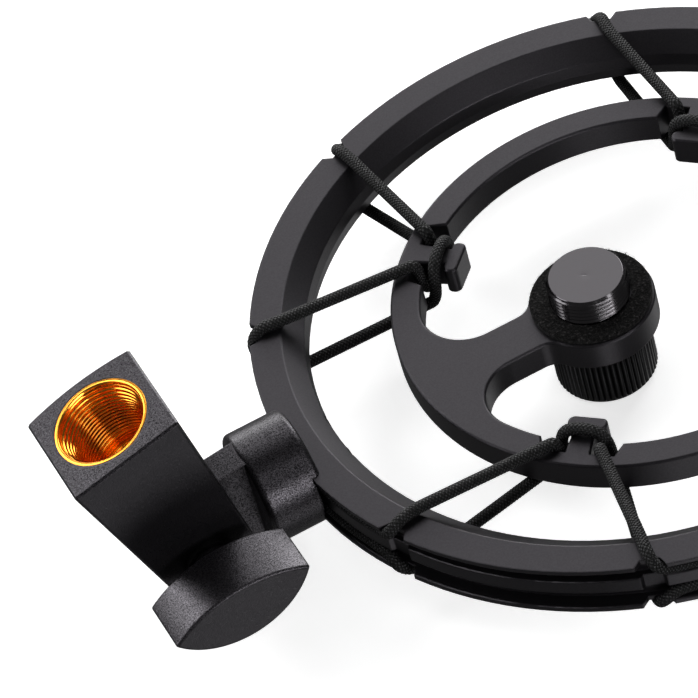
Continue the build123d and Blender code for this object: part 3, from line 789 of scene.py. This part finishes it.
def felt_fibre(rng, inner, outer, low, high):
    """One loose fibre that lies on the felt's face or edge."""
    share_on_face, arch = 0.6, 0.05 * MM
    edge_r, face_z = outer - 0.2 * MM, high - 0.09 * MM
    angle = rng.uniform(0, 2 * pi)
    if rng.random() < share_on_face:
        r, z = np.sqrt(rng.uniform(inner**2, edge_r**2)), face_z
        rise = Vector((0, 0, 1))
    else:
        r, z = edge_r, low + rng.uniform(0.15, 0.85) * (high - low)
        rise = Vector((cos(angle), sin(angle), 0))
    heading = rng.uniform(0, 2 * pi)
    bend = rng.uniform(-2.2, 2.2)
    length = rng.uniform(0.3, 0.8) * MM
    side = rise.orthogonal().normalized()
    other = rise.cross(side)
    at = Vector((r * cos(angle), r * sin(angle), z))
    steps, sides, thin = 5, 3, rng.uniform(0.016, 0.028) * MM
    points = []
    for i in range(steps + 1):
        t = i / steps
        way = heading + bend * t
        level = arch * sin(pi * t)
        across = side * -sin(way) + other * cos(way)
        for k in range(sides):
            a = 2 * pi * k / sides
            points.append(tuple(at + rise * (level + thin * sin(a)) + across * thin * cos(a)))
        at = at + (side * cos(way) + other * sin(way)) * (length / steps)
    return points, grid_faces(steps + 1, sides)


def make_felt():
    """The felt seat: a soft-edged ring with an uneven face and loose fibres."""
    low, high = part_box("felt_washer")
    rng = np.random.default_rng(11)
    fibres, sides = 2600, 420
    grid, unevenness = 0.16 * MM, 0.045 * MM
    top_zone, side_zone = 0.3 * MM, 0.4 * MM
    outer, inner = high.x, THREAD_CREST_R + 0.05 * MM
    profile = rounded([
        (inner, low.z + 0.1 * MM), (inner, high.z - 0.05 * MM),
        (outer - 0.1 * MM, high.z - 0.08 * MM), (outer - 0.12 * MM, low.z + 0.02 * MM),
        (inner, low.z + 0.02 * MM),
    ], 0.35 * MM, 6)
    fine = []
    for a, b in zip(profile, profile[1:]):
        dr, dz = b[0] - a[0], b[1] - a[1]
        count = max(1, int(np.hypot(dr, dz) / grid))
        fine += [(a[0] + dr * i / count, a[1] + dz * i / count) for i in range(count)]
    fine.append(profile[-1])
    points, faces = lathe_rows(fine, sides)
    points = np.array(points)
    sink = np.abs(rng.normal(0, unevenness, len(points)))
    on_top = points[:, 2] > high.z - top_zone
    points[on_top, 2] -= sink[on_top]
    radius = np.linalg.norm(points[:, :2], axis=1)
    out = points[:, :2] / radius[:, None]
    on_side = radius > outer - side_zone
    points[on_side, :2] -= out[on_side] * sink[on_side][:, None]
    parts = [(points.tolist(), faces)]
    for _ in range(fibres):
        parts.append(felt_fibre(rng, inner, outer, low.z, high.z))
    felt = joined("felt_seat", parts, clean=False)
    finish_piece(felt, "felt", "cradle", "felt_washer")


# ---- the solids that stay: their finishes ----
SOLID_FINISHES = {
    "outer_ring": "ring_satin",
    "inner_frame": "frame_satin",
    "ring_bracket": "powder_coat",
    "stand_block": "block_coat",
    "clamp_knob": "knob_black",
    "clamp_rod": "zinc_steel",
    "clamp_nut": "zinc_steel",
    "clamp_washer": "washer_black",
    "thrust_washer": "nylon",
    "friction_washer_near": "nylon",
    "friction_washer_far": "nylon",
    "bracket_screws": "screw_black",
    "upper_cord_ferrule": "crimp_steel",
    "lower_cord_ferrule": "crimp_steel",
}


def finish_solids():
    """Gives every solid that stays its own procedural finish."""
    for name, finish in SOLID_FINISHES.items():
        mesh = frame["nodes"][name].data
        mesh.materials.clear()
        mesh.materials.append(materials[finish])


# ---- stage ----
CAMERA_AZIMUTH, CAMERA_ELEVATION, CAMERA_ROLL = -14.4, 45.85, -16.58
CAMERA_LENS, CAMERA_SENSOR = 258.96, 36
FAR_CLIP = 20
RING_CENTRE_DEPTH = 0.96792          # from the camera, along its view
RING_CENTRE_RIGHT, RING_CENTRE_DOWN = 0.05306, -0.01413


def make_camera():
    """The camera above the near left of the ring, rolled a little."""
    turn = (
        Matrix.Rotation(radians(CAMERA_AZIMUTH), 4, "Z")
        @ Matrix.Rotation(radians(90 - CAMERA_ELEVATION), 4, "X")
        @ Matrix.Rotation(radians(CAMERA_ROLL), 4, "Z")
    )
    centre = Vector((OUTER_X, 0, RING_TOP))
    offset = turn @ Vector((RING_CENTRE_RIGHT, -RING_CENTRE_DOWN, -RING_CENTRE_DEPTH))
    data = bpy.data.cameras.new("camera")
    data.lens = CAMERA_LENS
    data.sensor_width = CAMERA_SENSOR
    data.clip_end = FAR_CLIP
    camera = bpy.data.objects.new("camera", data)
    camera.matrix_world = Matrix.Translation(centre - offset) @ turn
    bpy.context.scene.collection.objects.link(camera)
    bpy.context.scene.camera = camera


def make_floor():
    """A wide white floor, which catches soft shadows and isn't mirrored in the object."""
    half, glow = 3.0, 0.65
    z = cad_low.z - 0.2 * MM
    corners = [(-half, -half, z), (half, -half, z), (half, half, z), (-half, half, z)]
    floor = mesh_object("floor", corners, [(0, 1, 2, 3)], smooth=False)
    shader = new_material("floor_paper", (0.93, 0.93, 0.93), 0.9, specular=0.1)[1]
    shader.inputs["Emission Color"].default_value = (1, 1, 1, 1)
    shader.inputs["Emission Strength"].default_value = glow
    floor.data.materials.append(materials["floor_paper"])
    floor.visible_glossy = False
    floor.visible_diffuse = False
    floor.visible_shadow = False


def area_light(name, towards, distance, size, radiance):
    """A soft box in a direction from the object, facing it, as bright as its radiance says."""
    place = Vector(towards).normalized() * distance
    data = bpy.data.lights.new(name, "AREA")
    data.shape = "RECTANGLE"
    data.size, data.size_y = size
    data.energy = radiance * pi * size[0] * size[1]
    light = bpy.data.objects.new(name, data)
    light.location = place
    light.rotation_euler = (-place).to_track_quat("-Z", "Y").to_euler()
    bpy.context.scene.collection.objects.link(light)


# a dim panel between two bright boxes behind, boxes and strips round the sides, and two low cards
# name: direction from the object, distance, (width, height) and radiance
LIGHTS = {
    "panel_back": ((0.15, 0.675, 0.72), 1.15, (0.62, 1.0), 1.3),
    "soft_box_back_left": ((-0.55, 0.62, 0.56), 1.2, (0.5, 0.7), 5.0),
    "soft_box_back_right": ((0.66, 0.58, 0.48), 1.2, (0.5, 0.7), 5.2),
    "soft_box_left": ((-0.85, 0.2, 0.32), 1.2, (0.55, 0.6), 3.6),
    "soft_box_front": ((0.42, -0.65, 0.63), 1.2, (0.16, 0.24), 4.5),
    "soft_box_high_front": ((0.1, -0.56, 0.8), 1.2, (0.6, 0.3), 1.3),
    "strip_front": ((0.17, -0.98, 0.16), 1.3, (1.0, 0.3), 8.0),
    "strip_back": ((0.2, 0.96, 0.2), 1.3, (1.9, 0.34), 5.0),
    "card_low_left": ((-0.05, -0.24, -0.22), 0.33, (0.12, 0.12), 1.1),
    "card_low_right": ((0.68, 0.15, -0.7), 0.9, (0.6, 0.6), 0.5),
}
# the surround's shade changes upwards and backwards; its stops are (place, grey) along that way
SURROUND_UP, SURROUND_BACK = 0.375, 0.33
SURROUND_SHADES = [(0.1, 0.12), (0.4, 0.08), (0.6, 0.1), (1.0, 0.08)]


def make_surround():
    """A dim grey world, a little lighter low down in front."""
    world = bpy.data.worlds.new("studio")
    world.use_nodes = True
    tree = world.node_tree
    place = tree.nodes.new("ShaderNodeTexCoord").outputs["Generated"]
    split = tree.nodes.new("ShaderNodeSeparateXYZ")
    tree.links.new(place, split.inputs["Vector"])
    lean = math_node(tree, "MULTIPLY_ADD", split.outputs["Z"], SURROUND_UP, 0.5)
    lean = math_node(tree, "MULTIPLY_ADD", split.outputs["Y"], SURROUND_BACK, lean)
    background = tree.nodes["Background"]
    tree.links.new(ramp(tree, lean, SURROUND_SHADES), background.inputs["Color"])
    background.inputs["Strength"].default_value = 1.0
    bpy.context.scene.world = world


def make_lights():
    """The lights and the surround, with colours shown as they are."""
    for name, values in LIGHTS.items():
        area_light(name, *values)
    make_surround()
    bpy.context.scene.view_settings.view_transform = "Standard"


make_materials()
make_camera()
ride_cord("upper_cord", UPPER)
ride_cord("lower_cord", LOWER)
make_stud()
make_thumb_wheel()
make_insert()
make_felt()
finish_solids()
make_floor()
make_lights()
